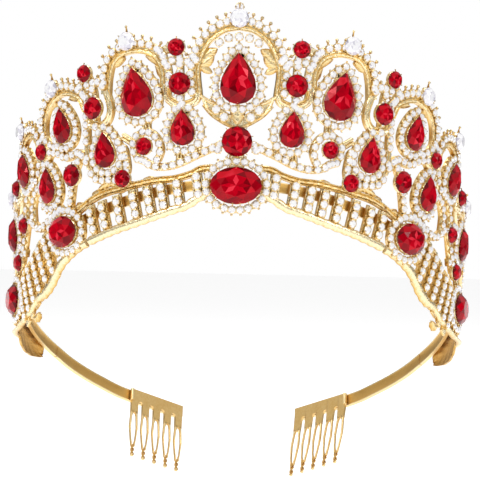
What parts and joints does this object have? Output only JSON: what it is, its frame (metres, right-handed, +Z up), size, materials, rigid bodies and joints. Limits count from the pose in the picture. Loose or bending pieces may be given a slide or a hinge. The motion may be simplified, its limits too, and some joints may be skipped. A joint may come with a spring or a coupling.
{
  "type": "tiara crown",
  "caption": "Openwork tiara crown with stepped arches and faceted stones, on a sprung headband whose two arms each end in a hair comb.",
  "frame": {"origin": "centre of the headband loop, which is where the wearer's head is held", "axes": "+Z up as worn, front of the crown towards -Y, combs towards +Y, +X to the right of a viewer who faces the crown"},
  "size_m": [0.146, 0.148, 0.1486],
  "materials": {
    "gold_casting": "bright gold plate on cast alloy",
    "gold_strip": "satin gold plate on spring strip",
    "gold_comb": "bright gold plate on pressed sheet",
    "ruby_glass": "faceted, foil-backed red glass",
    "clear_glass": "faceted, foil-backed clear glass"
  },
  "bodies": {
    "crown": {"centre_frame": "gold_casting", "crystal_peak_1_left": "clear_glass", "crystal_peak_1_right": "clear_glass", "crystal_peak_2_left": "clear_glass", "crystal_peak_2_right": "clear_glass", "crystal_peak_3_left": "clear_glass", "crystal_peak_3_right": "clear_glass", "crystal_peak_4_left": "clear_glass", "crystal_peak_4_right": "clear_glass", "crystal_peak_centre": "clear_glass", "headband_front": "gold_strip", "left_side_frame": "gold_casting", "right_side_frame": "gold_casting", "ruby_oval_centre": "ruby_glass", "ruby_oval_end_left": "ruby_glass", "ruby_oval_end_right": "ruby_glass", "ruby_oval_side_left": "ruby_glass", "ruby_oval_side_right": "ruby_glass", "ruby_pear_arch_1_left": "ruby_glass", "ruby_pear_arch_1_right": "ruby_glass", "ruby_pear_arch_2_left": "ruby_glass", "ruby_pear_arch_2_right": "ruby_glass", "ruby_pear_arch_3_left": "ruby_glass", "ruby_pear_arch_3_right": "ruby_glass", "ruby_pear_centre": "ruby_glass", "ruby_pear_low_1_left": "ruby_glass", "ruby_pear_low_1_right": "ruby_glass", "ruby_pear_low_2_left": "ruby_glass", "ruby_pear_low_2_right": "ruby_glass", "ruby_pear_low_3_left": "ruby_glass", "ruby_pear_low_3_right": "ruby_glass", "ruby_pear_low_4_left": "ruby_glass", "ruby_pear_low_4_right": "ruby_glass", "ruby_round_centre": "ruby_glass", "ruby_round_column_left": "ruby_glass", "ruby_round_column_right": "ruby_glass", "ruby_round_end_left": "ruby_glass", "ruby_round_end_right": "ruby_glass", "ruby_round_leaf_left": "ruby_glass", "ruby_round_leaf_right": "ruby_glass", "ruby_round_loop_1_left": "ruby_glass", "ruby_round_loop_1_right": "ruby_glass", "ruby_round_loop_2_left": "ruby_glass", "ruby_round_loop_2_right": "ruby_glass", "ruby_round_loop_3_left": "ruby_glass", "ruby_round_loop_3_right": "ruby_glass", "ruby_round_loop_4_left": "ruby_glass", "ruby_round_loop_4_right": "ruby_glass", "ruby_round_scroll_left": "ruby_glass", "ruby_round_scroll_right": "ruby_glass", "ruby_round_swirl_left": "ruby_glass", "ruby_round_swirl_right": "ruby_glass", "ruby_round_valley_1_left": "ruby_glass", "ruby_round_valley_1_right": "ruby_glass", "ruby_round_valley_2_left": "ruby_glass", "ruby_round_valley_2_right": "ruby_glass"},
    "arm_left": {"headband_arm_left": "gold_strip", "comb_left": "gold_comb"},
    "arm_right": {"headband_arm_right": "gold_strip", "comb_right": "gold_comb"}
  },
  "joints": [
    {"name": "arm_flex_left", "type": "hinge", "parent": "crown", "child": "arm_left", "pos_m": [-0.06004, 0.03192, -0.0174], "axis": [0, 0.4785, 0.8781], "range_deg": [-6, 12], "stiffness_Nm_per_rad": 0.5},
    {"name": "arm_flex_right", "type": "hinge", "parent": "crown", "child": "arm_right", "pos_m": [0.06004, 0.03192, -0.0174], "axis": [0, -0.4785, -0.8781], "range_deg": [-6, 12], "stiffness_Nm_per_rad": 0.5}
  ]
}
